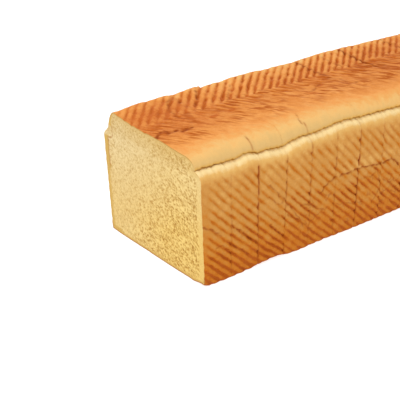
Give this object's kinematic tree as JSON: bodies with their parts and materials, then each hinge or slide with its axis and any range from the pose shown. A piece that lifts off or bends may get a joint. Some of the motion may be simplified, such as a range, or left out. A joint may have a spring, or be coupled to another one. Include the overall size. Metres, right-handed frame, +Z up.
{
  "type": "tin loaf",
  "caption": "Long square tin loaf of white bread, cut into thick slices that stand together, with a ribbed browned crust, a lid seam and one open cut face.",
  "frame": {"origin": "middle of the underside's bounding box, on the surface the loaf stands on", "axes": "+Y runs along the loaf from its open cut face to its crusted end, +Z is up, +X points to the loaf's right side seen from the cut face"},
  "size_m": [0.1272, 0.3798, 0.1111],
  "materials": {
    "sliced_bread": "dry browned bread crust round a soft pale yellow crumb",
    "end_crust": "dry ribbed bread crust, golden at the top and red-brown at the base"
  },
  "bodies": {
    "root": {"slice_01": "sliced_bread", "slice_02": "sliced_bread", "slice_03": "sliced_bread", "slice_04": "sliced_bread", "slice_05": "sliced_bread", "slice_06": "sliced_bread", "slice_07": "sliced_bread", "slice_08": "sliced_bread", "slice_09": "sliced_bread", "slice_10": "sliced_bread", "slice_11": "sliced_bread", "slice_12": "sliced_bread", "slice_13": "sliced_bread", "end_crust": "end_crust"}
  },
  "joints": []
}
